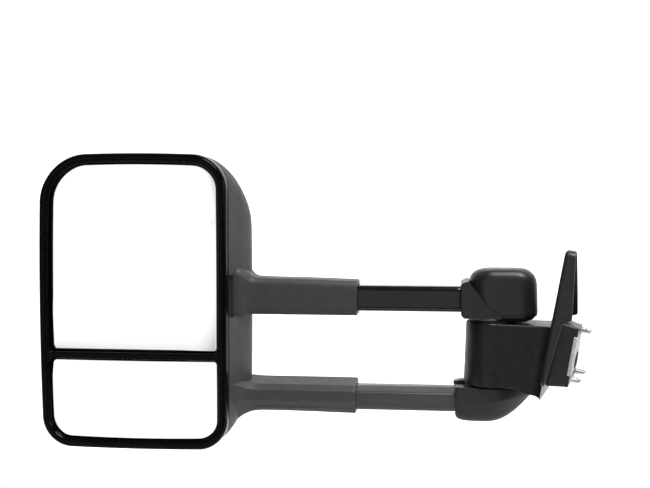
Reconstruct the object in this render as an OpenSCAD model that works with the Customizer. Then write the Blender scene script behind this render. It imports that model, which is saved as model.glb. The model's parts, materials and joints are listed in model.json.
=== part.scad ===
// Extending towing mirror, left-hand side: a door-mounted bracket, a folding twin-tube arm and a
// sliding mirror head with a powered flat glass above a hand-set convex glass.
// +X points inboard to the door, +Y forward, +Z up; the origin is the centre of the door studs.

/* [Door] */
// Lean of the door face away from vertical, top inboard
door_lean = 10; // [6:1:12]
// Toe of the door face, front inboard
door_toe = 11; // [8:1:13]
// Diameter of the circle that the three door studs stand on
stud_pcd = 58; // [56:0.5:60]
// Radius of a door stud
stud_r = 3; // [2.5:0.5:4]
// Length of stud beyond the door face
stud_out = 10; // [8:1:20]

/* [Pivot] */
// Distance of the fold pivot outboard of the arm's origin
pivot_out = 81.5; // [80:0.5:84]
// Radius of the pivot barrel
barrel_r = 23; // [20:0.5:23]
// Radius of the hinge pin
pin_r = 6; // [5:0.5:7]

/* [Arm] */
// Height of the upper tube
utube_h = 24.2; // [22:0.1:25]
// Width of the upper tube, front to back
utube_w = 24; // [22:0.5:26]
// Height of the lower tube
ltube_h = 21.6; // [20:0.1:22]
// Width of the lower tube, front to back
ltube_w = 28; // [24:0.5:29]
// Wall of both tubes
tube_wall = 2; // [1.5:0.1:2.5]

/* [Head] */
// Width of the head's front frame
head_w = 179; // [176:1:182]
// Height of the head's front frame
head_h = 276.6; // [274:0.2:280]
// Depth of the head, front frame to back
head_d = 92; // [90:1:96]
// Wall of the rear cover
shell_t = 2.6; // [2:0.1:3]
// Thickness of both mirror glasses
glass_t = 2; // [1.8:0.1:2.2]
// Gap round each glass
glass_gap = 1.6; // [1.4:0.1:2]

/* [Hidden] */
$fn = 64;
// origin of the arm and head, seen from the centre of the door studs
arm_at = [3.9, -0.8, 1.8];
// pivot axis, in the arm's frame like all that follows down to the door side
px = -pivot_out;
barrel_z0 = -25;
barrel_z1 = 34.6;
washer_t = 1.5;
bush_r = pin_r + 2;
// running clearance of every turning pin
run = 0.05;
// clearance of a sliding fit between bodies
slip = 0.3;
// tube axes
utube_z = 54.5;
ltube_z = -39.9;
utube_r = 6;
ltube_r = 5;
tube_x0 = -298;
tube_x1 = px - 19.5;
spigot_l = 46;
// knuckles
cap_x0 = -110.4;
cap_x1 = -40;
cap_z0 = 36.9;
cap_z1 = 83.6;
cap_w = 44;
lk_x0 = -115.4;
lk_x1 = -45.5;
lk_z0 = -59.2;
lk_top = barrel_z0 - washer_t;
// head
head_x0 = -503.6;
head_x1 = head_x0 + head_w;
head_z0 = -85.9;
head_z1 = head_z0 + head_h;
front_y = -50;
joint_y = -33;
back_y = front_y + head_d;
bezel_lip = 8.6;
// corner radii: inboard top, outboard top, outboard low, inboard low
bezel_r = [32, 44, 28, 27];
bar_r = 4;
bar_z0 = -1.4;
bar_z1 = 5;
glass_y = -43;
tray_t = 2;
tray_y = glass_y + glass_t;
tray_back = tray_y + tray_t;
gimbal_y = -30;
gimbal_x = head_x0 + head_w / 2;
upper_z = (bar_z1 + head_z1 - bezel_lip) / 2;
lower_z = (head_z0 + bezel_lip + bar_z0) / 2;
axle_r = 2;
ear_in = 9;
ear_out = 12;
ear_r = 4;
jack_arm = 24;
jack_drop = 16;
jack_r = 3;
ball_r = 4;
motor_face = -24;
plate_y0 = -17.6;
plate_y1 = -14.8;
sleeve_x0 = -328;
usleeve_x1 = -207;
lsleeve_x1 = -208.4;
sleeve_t = 2.4;
bush_l = 14;
channel_x0 = -388;

// ---- shared shapes ----

// Profile in X and Z, extruded from y0 to y1
module slab_y(y0, y1) {
    translate([0, y1, 0])
        rotate([90, 0, 0])
            linear_extrude(y1 - y0)
                children();
}

// Section in Y and Z, extruded from x0 to x1
module bar_x(x0, x1) {
    translate([x0, 0, 0])
        rotate([90, 0, 90])
            linear_extrude(x1 - x0)
                children();
}

module cyl_y(x, z, y0, y1, r) {
    translate([x, y1, z])
        rotate([90, 0, 0])
            cylinder(h = y1 - y0, r = r);
}

module cyl_x(y, z, x0, x1, r) {
    translate([x0, y, z])
        rotate([0, 90, 0])
            cylinder(h = x1 - x0, r = r);
}

module cyl_z(x, y, z0, z1, r) {
    translate([x, y, z0])
        cylinder(h = z1 - z0, r = r);
}

module box3(x0, x1, y0, y1, z0, z1) {
    translate([x0, y0, z0])
        cube([x1 - x0, y1 - y0, z1 - z0]);
}

// Rounded rectangle from corner to corner, with one radius at the top and one at the bottom
module round_rect(x0, x1, z0, z1, rt, rb) {
    union() {
        translate([x0, z0 + rb])
            square([x1 - x0, z1 - z0 - rt - rb]);
        translate([x0 + rt, z0 + rb])
            square([x1 - x0 - 2 * rt, z1 - z0 - rb]);
        translate([x0 + rb, z0])
            square([x1 - x0 - 2 * rb, z1 - z0 - rt]);
        for (x = [x0 + rt, x1 - rt])
            translate([x, z1 - rt])
                circle(rt);
        for (x = [x0 + rb, x1 - rb])
            translate([x, z0 + rb])
                circle(rb);
    }
}

// Rounded rectangle with its own radius at each corner, in the order of bezel_r
module round4(x0, x1, z0, z1, r) {
    union() {
        polygon([[x1, z0 + r[3]], [x1, z1 - r[0]], [x1 - r[0], z1], [x0 + r[1], z1], [x0, z1 - r[1]],
                 [x0, z0 + r[2]], [x0 + r[2], z0], [x1 - r[3], z0]]);
        translate([x1 - r[0], z1 - r[0]])
            circle(r[0]);
        translate([x0 + r[1], z1 - r[1]])
            circle(r[1]);
        translate([x0 + r[2], z0 + r[2]])
            circle(r[2]);
        translate([x1 - r[3], z0 + r[3]])
            circle(r[3]);
    }
}

module tube_section(z, w, h, r, grow) {
    round_rect(-w / 2 - grow, w / 2 + grow, z - h / 2 - grow, z + h / 2 + grow, r + grow, r + grow);
}

module upper_section(grow) {
    tube_section(utube_z, utube_w, utube_h, utube_r, grow);
}

module lower_section(grow) {
    tube_section(ltube_z, ltube_w, ltube_h, ltube_r, grow);
}

// Local frame of the door face: +X into the door, +Y forward, +Z up along the face
module on_door() {
    rotate([0, door_lean, -door_toe])
        children();
}

// Frame of the arm and head
module on_arm() {
    translate(arm_at)
        children();
}

module at_studs() {
    for (a = [90, 210, 330])
        translate([0, stud_pcd / 2 * cos(a), stud_pcd / 2 * sin(a)])
            children();
}

// Fillet arc at corner p between its neighbours a and b
function unit(v) = v / norm(v);
function fillet(a, p, b, r, n) =
    let (u = unit(a - p), v = unit(b - p), half = acos(u * v) / 2,
         c = p + unit(u + v) * r / sin(half), s = p + u * r / tan(half), e = p + v * r / tan(half),
         a0 = atan2(s[1] - c[1], s[0] - c[0]), turn = atan2(e[1] - c[1], e[0] - c[0]) - a0,
         sweep = turn > 180 ? turn - 360 : turn < -180 ? turn + 360 : turn)
    [for (i = [0:n]) c + r * [cos(a0 + sweep * i / n), sin(a0 + sweep * i / n)]];

// Polygon [[x, y, radius], ...] with every corner rounded
function rounded(p, n = 8) =
    [for (i = [0:len(p) - 1])
        let (a = p[(i + len(p) - 1) % len(p)], c = p[i], b = p[(i + 1) % len(p)])
        each fillet([a[0], a[1]], [c[0], c[1]], [b[0], b[1]], c[2], n)];

// ---- door side ----

sail_x0 = -23.9;
sail_x1 = -13.4;
sail_skin = 3;
sail_corners = [[-54, -24.5, 5], [-50, 106.5, 6], [-36, 108.5, 8], [24, 10.5, 40], [34, -37.5, 5]];
sail_inner = [[-51.5, -22.5, 3], [-47.6, 104, 3.5], [-37.5, 105.5, 5.5], [21, 10.5, 40],
              [30.6, -34.1, 3]];
block_x1 = -3;
block_y = 33;
block_z0 = -24.5;
block_z1 = 36.5;
block_wall = 3;
// the block's forward top corner is cut off between these two points of its sides
cut_y = 6;
cut_z = -2;
foot_x0 = -12;
neck_y = 14;
neck_z = 18;
gasket_t = 3;
harness_r = 5;
// the grommet stands this far out of the door face
grommet_out = 1;
// pressed shank of a stud, in the bracket
shank_r = 3.7;
// the block's underside slopes down from here to its inboard end
under_x = px + 23;
under_z = -32;

// Outline of the stand-off block, drawn in by d
module block_outline(d) {
    polygon(rounded([[-block_y + d, block_z0 + d, 4], [block_y - d, block_z0 + d, 4],
                     [block_y - d, cut_z - 0.32 * d, 8], [cut_y - 0.52 * d, block_z1 - d, 5],
                     [-block_y + d, block_z1 - d, 4]]));
}

module at_studs_2d() {
    for (a = [90, 210, 330])
        translate([stud_pcd / 2 * cos(a), stud_pcd / 2 * sin(a)])
            children();
}

module door_bracket() {
    color("#1c1c1e")
        difference() {
            union() {
                on_arm()
                    cyl_z(px, 0, barrel_z0, barrel_z1, barrel_r);
                difference() {
                    on_arm()
                        slab_y(-barrel_r, barrel_r)
                            polygon([[px, barrel_z0], [under_x, barrel_z0], [-44, under_z],
                                     [-8, under_z], [-8, barrel_z1], [px, barrel_z1]]);
                    on_door()
                        box3(sail_x0, 60, -90, 90, -120, 120);
                }
                on_door()
                    box3(sail_x0 - 4, foot_x0 + 1, -neck_y, neck_y, -neck_z, neck_z);
                on_door()
                    bar_x(foot_x0, block_x1)
                        block_outline(block_wall + 0.2);
            }
            on_arm()
                cyl_z(px, 0, barrel_z0 - 1, barrel_z1 + 1, bush_r + run);
            on_door() {
                bar_x(foot_x0 - 10, 1)
                    at_studs_2d()
                        circle(shank_r + 0.1);
                cyl_x(0, 0, foot_x0 - 1, 1, 8.2);
                cyl_x(0, 0, sail_x0 - 18, foot_x0, 11);
            }
            // the harness leaves the block downward, beside the barrel
            on_arm()
                cyl_z(px + 33, 6, -60, 6, 6);
        }
}

module mounting_block() {
    color("#161617")
        on_door()
            difference() {
                bar_x(sail_x0 + sail_skin, block_x1)
                    block_outline(0);
                bar_x(sail_x0 + sail_skin + block_wall, 1)
                    block_outline(block_wall);
                box3(sail_x0, 0, -neck_y - 0.2, neck_y + 0.2, -neck_z - 0.2, neck_z + 0.2);
            }
}

module sail_cover() {
    color("#1a1a1b")
        on_door()
            difference() {
                bar_x(sail_x0, sail_x1)
                    polygon(rounded(sail_corners));
                difference() {
                    bar_x(sail_x0 + sail_skin, 0)
                        polygon(rounded(sail_inner));
                    box3(sail_x0, sail_x0 + sail_skin, -99, 99, -99, 199);
                }
                box3(sail_x0 - 9, 1, -neck_y - 0.2, neck_y + 0.2, -neck_z - 0.2, neck_z + 0.2);
                box3(sail_x0 + sail_skin, 1, -block_y - 0.2, block_y + 0.2, block_z0 - 20, block_z1 + 0.2);
            }
}

module door_gasket() {
    color("#8d8d91")
        on_door()
            difference() {
                bar_x(-gasket_t, 0)
                    block_outline(0.6);
                bar_x(-gasket_t - 1, 1)
                    at_studs_2d()
                        circle(shank_r + 0.4);
                cyl_x(0, 0, -gasket_t - 1, 1, 8.4);
            }
}

module door_studs() {
    color("#c9cacc")
        on_door()
            at_studs()
                union() {
                    cyl_x(0, 0, -1, stud_out, stud_r);
                    cyl_x(0, 0, foot_x0 - 3, 0, shank_r);
                    cyl_x(0, 0, foot_x0 - 5, foot_x0, stud_r * 1.4);
                }
}

module harness_grommet() {
    color("#222222")
        on_door()
            difference() {
                union() {
                    cyl_x(0, 0, foot_x0 - 2, grommet_out, 8);
                    cyl_x(0, 0, foot_x0 - 4, foot_x0 - 0.1, 10.5);
                }
                cyl_x(0, 0, foot_x0 - 5, grommet_out + 1, harness_r);
            }
}

// Flanged plastic bushes that line both ends of the barrel
module pivot_bushes() {
    color("#d8d4c6")
        for (z = [barrel_z0, barrel_z1 - 14])
            difference() {
                cyl_z(px, 0, z, z + 14, bush_r);
                cyl_z(px, 0, z - 1, z + 15, pin_r + run);
            }
}

module thrust_washers() {
    color("#d8d4c6")
        for (z = [barrel_z0 - washer_t + 0.1, barrel_z1])
            difference() {
                cyl_z(px, 0, z, z + washer_t - 0.1, barrel_r - 2);
                cyl_z(px, 0, z - 1, z + washer_t + 1, pin_r + 0.4);
            }
}

// ---- arm ----

hub_r = 19;
hub_z0 = barrel_z1 + washer_t + 0.2;
hub_z1 = 42;
seat_z = 47;
spring_z0 = 49;
spring_z1 = 68;
nut_z = 70;
nut_h = 8;
wire_r = 1.5;
coil_r = 10.3;
coil_turns = 5;
pin_head_z = -56;
pocket_x = -101;

module hinge_pin() {
    color("#b9babd")
        union() {
            cyl_z(px, 0, pin_head_z, nut_z + nut_h + 1.5, pin_r);
            cyl_z(px, 0, pin_head_z, pin_head_z + 5, pin_r * 1.6);
        }
}

module lower_knuckle() {
    color("#2a2a2c")
        difference() {
            union() {
                intersection() {
                    slab_y(-30, 30)
                        polygon([[lk_x0, lk_top], [under_x - 1.5, lk_top], [lk_x1, lk_top - 7.6],
                                 [-50, -39], [-57, -47], [-66, -53.5], [-77, -58], [-84, lk_z0],
                                 [lk_x0 + 5, lk_z0], [lk_x0 + 1, -57], [lk_x0, -53]]);
                    translate([0, 0, lk_z0 - 1])
                        linear_extrude(lk_top - lk_z0 + 2)
                            union() {
                                translate([px, 0])
                                    circle(22.5);
                                translate([lk_x0 - 1, -19])
                                    square([px - lk_x0 + 10, 38]);
                                polygon([[px, -22.5], [px + 12, -19], [lk_x1 - 2, -5], [lk_x1, 0],
                                         [lk_x1 - 2, 5], [px + 12, 19], [px, 22.5]]);
                            }
                }
                // cable lug on the forward side of the tube
                slab_y(2, 19)
                    polygon([[lk_x0 - 1.5, lk_top - 8], [lk_x0 - 1.5, lk_top + 6.5],
                             [px - barrel_r - 2.5, lk_top + 6.5], [px - barrel_r - 2.5, lk_top - 8]]);
                // spigot inside the tube
                bar_x(lk_x0 - spigot_l, pocket_x + 2)
                    lower_section(-tube_wall - 0.15);
            }
            difference() {
                bar_x(lk_x0 - 5, pocket_x)
                    lower_section(0.1);
                bar_x(lk_x0 - 6, pocket_x + 1)
                    lower_section(-tube_wall - 0.15);
            }
            cyl_z(px, 0, -99, 0, pin_r + 0.1);
            cyl_z(px, 0, -99, pin_head_z + 5, pin_r * 1.6 + 0.4);
            for (x = [-104.5, -109.5])
                cyl_z(x, 0, -99, -45, 1.8);
        }
}

module upper_knuckle() {
    color("#8f9194")
        difference() {
            union() {
                cyl_z(px, 0, hub_z0, hub_z1, hub_r);
                cyl_z(px, 0, hub_z1 - 1, seat_z, 13);
                box3(tube_x1 + 0.3, px - 14.5, -10, 10, hub_z0 + 1, utube_z + utube_h / 2 - 2.4);
                bar_x(tube_x1 - spigot_l, tube_x1 + 1)
                    upper_section(-tube_wall - 0.15);
            }
            cyl_z(px, 0, 0, 99, pin_r + 0.1);
            for (x = [-112, -122])
                cyl_z(x, 0, 55, 90, 1.8);
        }
}

// Solid bounded by a side profile, a plan and an end profile, all drawn in by inset
module cap_form(inset) {
    i = inset;
    intersection() {
        slab_y(-40, 40)
            polygon(rounded([[cap_x0 + i, cap_z0 - i, 3], [cap_x1 - i, cap_z0 - i, 3],
                             [cap_x1 - i, cap_z1 - i, 11 - i], [cap_x0 + 12 + i, cap_z1 - i, 12],
                             [cap_x0 + 8 + i, 73 - i, 6], [cap_x0 + i, 70 - i, 3]]));
        translate([0, 0, cap_z0 - 5])
            linear_extrude(60)
                round_rect(cap_x0 + i, cap_x1 - i, i - cap_w / 2, cap_w / 2 - i, 13 - i, 13 - i);
        bar_x(-130, -20)
            round_rect(i - cap_w / 2, cap_w / 2 - i, cap_z0 - 5 - i, cap_z1 - i, 12 - i, 2);
    }
}

module pivot_cap() {
    color("#1b1b1d")
        difference() {
            cap_form(0);
            cap_form(2.4);
            bar_x(cap_x0 - 20, cap_x0 + 20)
                upper_section(0.15);
        }
}

module washer_at(z0, z1, r) {
    difference() {
        cyl_z(px, 0, z0, z1, r);
        cyl_z(px, 0, z0 - 1, z1 + 1, pin_r + 0.2);
    }
}

module spring_seat() {
    color("#b9babd")
        washer_at(seat_z, spring_z0 - 0.1, 13);
}

module spring_washer() {
    color("#b9babd")
        washer_at(spring_z1 + 0.1, nut_z, 13);
}

// Round bar swept along a list of points, with flat ends; each point is [centre, radial, up]
function coil_point(t) =
    let (a = 360 * coil_turns * t,
         rise = max(0, min(1, (t * coil_turns - 0.8) / (coil_turns - 1.6))))
    [px + coil_r * cos(a), coil_r * sin(a),
     spring_z0 + wire_r + t * 0.4 + (spring_z1 - spring_z0 - 2 * wire_r - 0.4) * rise];

module pivot_spring() {
    sides = 6;
    steps = coil_turns * 14;
    pts = [for (i = [0:steps])
              let (t = i / steps, a = 360 * coil_turns * t, c = coil_point(t))
              for (k = [0:sides - 1])
                  let (b = 360 * k / sides)
                  c + wire_r * [cos(b) * cos(a), cos(b) * sin(a), sin(b)]];
    walls = [for (i = [0:steps - 1], k = [0:sides - 1])
                let (a = i * sides + k, b = i * sides + (k + 1) % sides)
                each [[a, b, b + sides], [a, b + sides, a + sides]]];
    ends = [[for (k = [sides - 1:-1:0]) k], [for (k = [0:sides - 1]) steps * sides + k]];
    color("#9a9b9e")
        polyhedron(pts, concat(walls, ends), convexity = 8);
}

module pivot_nut() {
    color("#b9babd")
        difference() {
            cyl_z(px, 0, nut_z + 0.1, nut_z + nut_h, 10.4, $fn = 6);
            cyl_z(px, 0, nut_z - 1, nut_z + nut_h + 1, pin_r + 0.1);
        }
}

module upper_tube() {
    color("#0c0c0d")
        difference() {
            bar_x(tube_x0, tube_x1)
                upper_section(0);
            bar_x(tube_x0 - 1, tube_x1 + 1)
                upper_section(-tube_wall);
            for (x = [-112, -122])
                cyl_z(x, 0, 55, 90, 2.2);
        }
}

module lower_tube() {
    color("#2b2b2d")
        difference() {
            bar_x(tube_x0, pocket_x - 0.2)
                lower_section(0);
            bar_x(tube_x0 - 1, pocket_x + 1)
                lower_section(-tube_wall);
            for (x = [-104.5, -109.5])
                cyl_z(x, 0, -99, -45, 2.2);
        }
}

module upper_tube_plug() {
    color("#d8d4c6")
        union() {
            bar_x(tube_x0 - 3, tube_x0)
                upper_section(0);
            bar_x(tube_x0 - 1, tube_x0 + 10)
                upper_section(-tube_wall - 0.1);
        }
}

module lower_tube_plug() {
    color("#d8d4c6")
        union() {
            bar_x(tube_x0 - 3, tube_x0)
                lower_section(0);
            bar_x(tube_x0 - 1, tube_x0 + 10)
                lower_section(-tube_wall - 0.1);
        }
}

// Screws that clamp each tube to its knuckle's spigot
module tube_screws() {
    color("#77797c")
        union() {
            for (x = [-112, -122])
                cyl_z(x, 0, 56, utube_z + utube_h / 2 - 0.2, 1.7);
            for (x = [-104.5, -109.5])
                cyl_z(x, 0, lk_z0 + 1.5, -46, 1.7);
        }
}

// ---- head ----

// Ring of the rear cover: [y, x0, x1, z0, z1, outboard top, inboard top, inboard low, outboard low]
cover_rings = [
    [joint_y, head_x0 + 1, head_x1 - 1, head_z0 + 1, head_z1 - 1, 43, 31, 26, 27],
    [-15, -502, -316.5, -84.6, 189, 43, 42, 38, 28],
    [0, -500, -309.9, -83, 187.6, 44, 58, 58, 30],
    [20, -496, -312.6, -79, 184.5, 45, 62, 66, 33],
    [30, -492.5, -316, -75.5, 181, 45, 60, 64, 35],
    [34.5, -488, -320, -71, 177, 43, 56, 60, 34],
    [back_y - 4, -480, -328, -63, 169, 40, 50, 54, 32],
    [back_y, -462, -345, -46, 152, 32, 42, 46, 26]];
ring_n = 7;
ring_len = 4 * (ring_n + 1);

function corner(y, cx, cz, r, a0) =
    [for (i = [0:ring_n]) let (a = a0 + 90 * i / ring_n) [cx + r * cos(a), y, cz + r * sin(a)]];

function cover_ring(s, t) =
    concat(corner(s[0], s[2] - s[6], s[4] - s[6], s[6] - t, 0),
           corner(s[0], s[1] + s[5], s[4] - s[5], s[5] - t, 90),
           corner(s[0], s[1] + s[8], s[3] + s[8], s[8] - t, 180),
           corner(s[0], s[2] - s[7], s[3] + s[7], s[7] - t, 270));

function inner_ring(s) =
    cover_ring([s[0] - shell_t * max(0, s[0]) / back_y, s[1], s[2], s[3], s[4], s[5], s[6], s[7], s[8]],
               shell_t);

module cover_shell() {
    k = len(cover_rings);
    rings = concat([for (i = [k - 1:-1:0]) inner_ring(cover_rings[i])],
                   [for (i = [0:k - 1]) cover_ring(cover_rings[i], 0)]);
    pts = [for (r = rings) each r];
    n = ring_len;
    walls = [for (i = [0:len(rings) - 2], j = [0:n - 1])
                let (a = i * n + j, b = i * n + (j + 1) % n)
                each [[a, b, b + n], [a, b + n, a + n]]];
    caps = [[for (j = [n - 1:-1:0]) j], [for (j = [0:n - 1]) (len(rings) - 1) * n + j]];
    polyhedron(pts, concat(walls, caps), convexity = 8);
}

boss_at = [[-462, 130], [-352, 130], [-458, -42], [-352, -14.5]];

module rear_cover() {
    color("#2c2c2e")
        union() {
            difference() {
                cover_shell();
                bar_x(-345, -280)
                    sleeve_hole(38, 74.2);
                bar_x(-345, -280)
                    sleeve_hole(-54, -22.6);
            }
            for (b = boss_at)
                difference() {
                    cyl_y(b[0], b[1], plate_y1 + 0.2, back_y - 2.2, 4.5, $fn = 24);
                    cyl_y(b[0], b[1], plate_y1, 4, 1.9, $fn = 24);
                }
        }
}

module sleeve_hole(z0, z1) {
    round_rect(-19.2, 19.2, z0 - 0.5, z1 + 0.5, 7, 7);
}

function inset_r(d) = [for (r = bezel_r) r - d];

// Outline of each window, drawn in from the frame's outline; bar_gap is its distance from the bar
module upper_window(d, corner_r, bar_gap = 0) {
    r = inset_r(d);
    round4(head_x0 + d, head_x1 - d, bar_z1 + bar_gap, head_z1 - d, [r[0], r[1], corner_r, corner_r]);
}

module lower_window(d, corner_r, bar_gap = 0) {
    r = inset_r(d);
    round4(head_x0 + d, head_x1 - d, head_z0 + d, bar_z0 - bar_gap, [corner_r, corner_r, r[2], r[3]]);
}

module bezel() {
    color("#060606")
        difference() {
            union() {
                slab_y(front_y, front_y + 4)
                    round4(head_x0, head_x1, head_z0, head_z1, bezel_r);
                slab_y(front_y + 3, joint_y - 0.2)
                    difference() {
                        round4(head_x0, head_x1, head_z0, head_z1, bezel_r);
                        round4(head_x0 + 3, head_x1 - 3, head_z0 + 3, head_z1 - 3, inset_r(3));
                    }
                box3(head_x0 + 2, head_x1 - 2, front_y + 1, front_y + 8, bar_z0, bar_z1);
            }
            slab_y(front_y - 1, front_y + 5)
                upper_window(bezel_lip, bar_r);
            slab_y(front_y - 1, front_y + 5)
                lower_window(bezel_lip, bar_r);
        }
}

// Ears on the fixed side of a gimbal, one above and one below its centre
module fixed_ears(z) {
    for (s = [-1, 1])
        difference() {
            union() {
                cyl_z(gimbal_x, gimbal_y, z + s * (ear_in + ear_out) / 2 - 1.5,
                      z + s * (ear_in + ear_out) / 2 + 1.5, ear_r - 0.4);
                box3(gimbal_x - ear_r + 0.6, gimbal_x + ear_r - 0.6, gimbal_y, motor_face + 2,
                     z + s * (ear_in + ear_out) / 2 - 1.5, z + s * (ear_in + ear_out) / 2 + 1.5);
            }
            cyl_z(gimbal_x, gimbal_y, z - 20, z + 20, axle_r + run);
        }
}

// Ears on the glass side of a gimbal, one on each side of its centre
module glass_ears(z) {
    for (s = [-1, 1])
        difference() {
            union() {
                cyl_x(gimbal_y, z, gimbal_x + s * (ear_in + ear_out) / 2 - 1.5,
                      gimbal_x + s * (ear_in + ear_out) / 2 + 1.5, ear_r - 0.4);
                box3(gimbal_x + s * (ear_in + ear_out) / 2 - 1.5,
                     gimbal_x + s * (ear_in + ear_out) / 2 + 1.5, tray_back - 1, gimbal_y,
                     z - ear_r + 0.6, z + ear_r - 0.6);
            }
            cyl_x(gimbal_y, z, gimbal_x - 20, gimbal_x + 20, axle_r + run);
        }
}

module gimbal_cross(z) {
    union() {
        translate([gimbal_x, gimbal_y, z])
            sphere(3.6);
        cyl_z(gimbal_x, gimbal_y, z - ear_out, z + ear_out, axle_r);
        cyl_x(gimbal_y, z, gimbal_x - ear_out, gimbal_x + ear_out, axle_r);
    }
}

post_r = 15;
case_w = 30;
case_z0 = upper_z - 22;
case_z1 = upper_z + 34;
case_y1 = 6;

module chassis() {
    color("#3a3b3d")
        difference() {
            union() {
                slab_y(plate_y0, plate_y1)
                    round_rect(-470, -330, -60, 148, 14, 14);
                bar_x(channel_x0, sleeve_x0 - 2)
                    tube_section(utube_z, utube_w, utube_h, utube_r, 4);
                bar_x(channel_x0, sleeve_x0 - 2)
                    tube_section(ltube_z, ltube_w, ltube_h, ltube_r, 3);
                cyl_y(gimbal_x, lower_z, motor_face, plate_y1, post_r);
                fixed_ears(lower_z);
            }
            bar_x(channel_x0 - 1, sleeve_x0)
                upper_section(slip);
            bar_x(channel_x0 - 1, sleeve_x0)
                lower_section(slip);
            box3(gimbal_x - case_w - 0.3, gimbal_x + case_w + 0.3, plate_y0 - 1, plate_y1 + 1,
                 case_z0 - 0.3, case_z1 + 0.3);
            // room for the flat glass's lower corner at full tilt
            box3(-372, -329, plate_y0 - 1, plate_y1 + 1, -6, 26);
            for (c = channel_back)
                box3(spring_x + 10, spring_x + 40, c[1] - 5, c[1] + 1, c[0] - 6, c[0] + 6);
            for (b = boss_at)
                cyl_y(b[0], b[1], plate_y0 - 1, plate_y1 + 1, 2.2);
            for (z = sleeve_screw_z)
                cyl_y(sleeve_screw_x, z, plate_y0 - 1, plate_y1 + 1, 2.2);
        }
}

sleeve_screw_x = -337;
sleeve_screw_z = [82.5, -17];

// Tab beside a sleeve's root that is screwed to the back of the chassis plate
module sleeve_tab(z, z0, z1) {
    difference() {
        box3(sleeve_screw_x - 7, sleeve_x0 + 6, plate_y1 + 0.2, -8, z0, z1);
        cyl_y(sleeve_screw_x, z, plate_y1 - 1, 0, 1.9);
    }
}

// Hollow arm sleeve: a section in Y and Z cut to a side profile, with an open bore for the tube
module upper_sleeve() {
    color("#2e2e30") {
        sleeve_tab(sleeve_screw_z[0], 71, 88);
        difference() {
            intersection() {
                bar_x(sleeve_x0, usleeve_x1)
                    round_rect(-18, 18, 38.7, 73.2, 7, 7);
                slab_y(-30, 30)
                    polygon([[sleeve_x0 - 1, 38], [usleeve_x1 + 1, 38], [usleeve_x1 + 1, 71.3],
                             [sleeve_x0 - 1, 73.3]]);
            }
            bar_x(sleeve_x0 - 1, usleeve_x1 + 1)
                upper_section(1.3);
        }
    }
}

module lower_sleeve() {
    color("#2e2e30") {
        sleeve_tab(sleeve_screw_z[1], -25.6, -11);
        difference() {
            intersection() {
                bar_x(sleeve_x0, lsleeve_x1)
                    polygon([[-12, -53], [12, -53], [18.6, -46], [18.6, -26.4], [16.6, -24.2],
                             [-16.6, -26.6], [-18.6, -28.4], [-18.6, -42]]);
                slab_y(-30, 30)
                    polygon([[sleeve_x0 - 1, -54], [lsleeve_x1 + 1, -54], [lsleeve_x1 + 1, -25],
                             [sleeve_x0 - 1, -23.6]]);
            }
            bar_x(sleeve_x0 - 1, lsleeve_x1 + 1)
                lower_section(1.3);
        }
    }
}

// Guide bushes in the mouth of each sleeve
module sleeve_bushes() {
    color("#55565a")
        union() {
            difference() {
                bar_x(usleeve_x1 - bush_l, usleeve_x1 - 0.4)
                    upper_section(1.25);
                bar_x(usleeve_x1 - bush_l - 1, usleeve_x1 + 1)
                    upper_section(slip);
            }
            difference() {
                bar_x(lsleeve_x1 - bush_l, lsleeve_x1 - 0.4)
                    lower_section(1.25);
                bar_x(lsleeve_x1 - bush_l - 1, lsleeve_x1 + 1)
                    lower_section(slip);
            }
        }
}

// Bowed leaf springs that press on the tubes through windows in the backs of the channels
spring_x = channel_x0 + 6;
channel_back = [[utube_z, utube_w / 2 + 4], [ltube_z, ltube_w / 2 + 3]];
module detent_springs() {
    color("#a9aaad")
        for (c = channel_back)
            translate([spring_x, c[1] + 0.1, c[0] - 5])
                linear_extrude(10)
                    polygon([[0, 0], [11, 0], [25, -2.2], [39, 0], [50, 0], [50, 0.8], [39, 0.8],
                             [25, -1.4], [11, 0.8], [0, 0.8]]);
}

module actuator_housing() {
    color("#202022")
        union() {
            difference() {
                box3(gimbal_x - case_w, gimbal_x + case_w, motor_face, -8, case_z0, case_z1);
                box3(gimbal_x - case_w + 2, gimbal_x + case_w - 2, motor_face + 2.5, 0, case_z0 + 2,
                     case_z1 - 2);
                cyl_y(gimbal_x + jack_arm, upper_z, -40, 0, jack_r + slip);
                cyl_y(gimbal_x, upper_z - jack_drop, -40, 0, jack_r + slip);
            }
            fixed_ears(upper_z);
        }
}

module actuator_cover() {
    color("#2a2a2d")
        difference() {
            box3(gimbal_x - case_w, gimbal_x + case_w, -7.9, case_y1, case_z0, case_z1);
            box3(gimbal_x - case_w + 2, gimbal_x + case_w - 2, -9, case_y1 - 2, case_z0 + 2,
                 case_z1 - 2);
        }
}

module actuator_motors() {
    color("#b0b1b4")
        for (x = [-14, 6])
            union() {
                cyl_z(gimbal_x + x, -10, upper_z + 8, upper_z + 30, 6);
                cyl_z(gimbal_x + x, -10, upper_z + 2, upper_z + 8, 1.2);
                cyl_z(gimbal_x + x, -10, upper_z + 3, upper_z + 7, 3);
            }
}

module cap_screw(x, z, y0, l) {
    union() {
        cyl_y(x, z, y0, y0 + l, 1.8);
        cyl_y(x, z, y0 - 2.2, y0 + 0.1, 3.6);
    }
}

module cover_screws() {
    color("#77797c")
        for (b = boss_at)
            cap_screw(b[0], b[1], plate_y0 - 0.1, 20);
}

module sleeve_screws() {
    color("#77797c")
        for (z = sleeve_screw_z)
            cap_screw(sleeve_screw_x, z, plate_y0 - 0.1, 9);
}

module actuator_gimbal() {
    color("#d8d4c6")
        gimbal_cross(upper_z);
}

module lower_gimbal() {
    color("#d8d4c6")
        gimbal_cross(lower_z);
}

module plunger(x, z) {
    color("#d8d4c6")
        union() {
            cyl_y(x, z, gimbal_y - 1, -9, jack_r);
            translate([x, gimbal_y - 1, z])
                sphere(ball_r);
        }
}

module yaw_plunger() {
    plunger(gimbal_x + jack_arm, upper_z);
}

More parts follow.
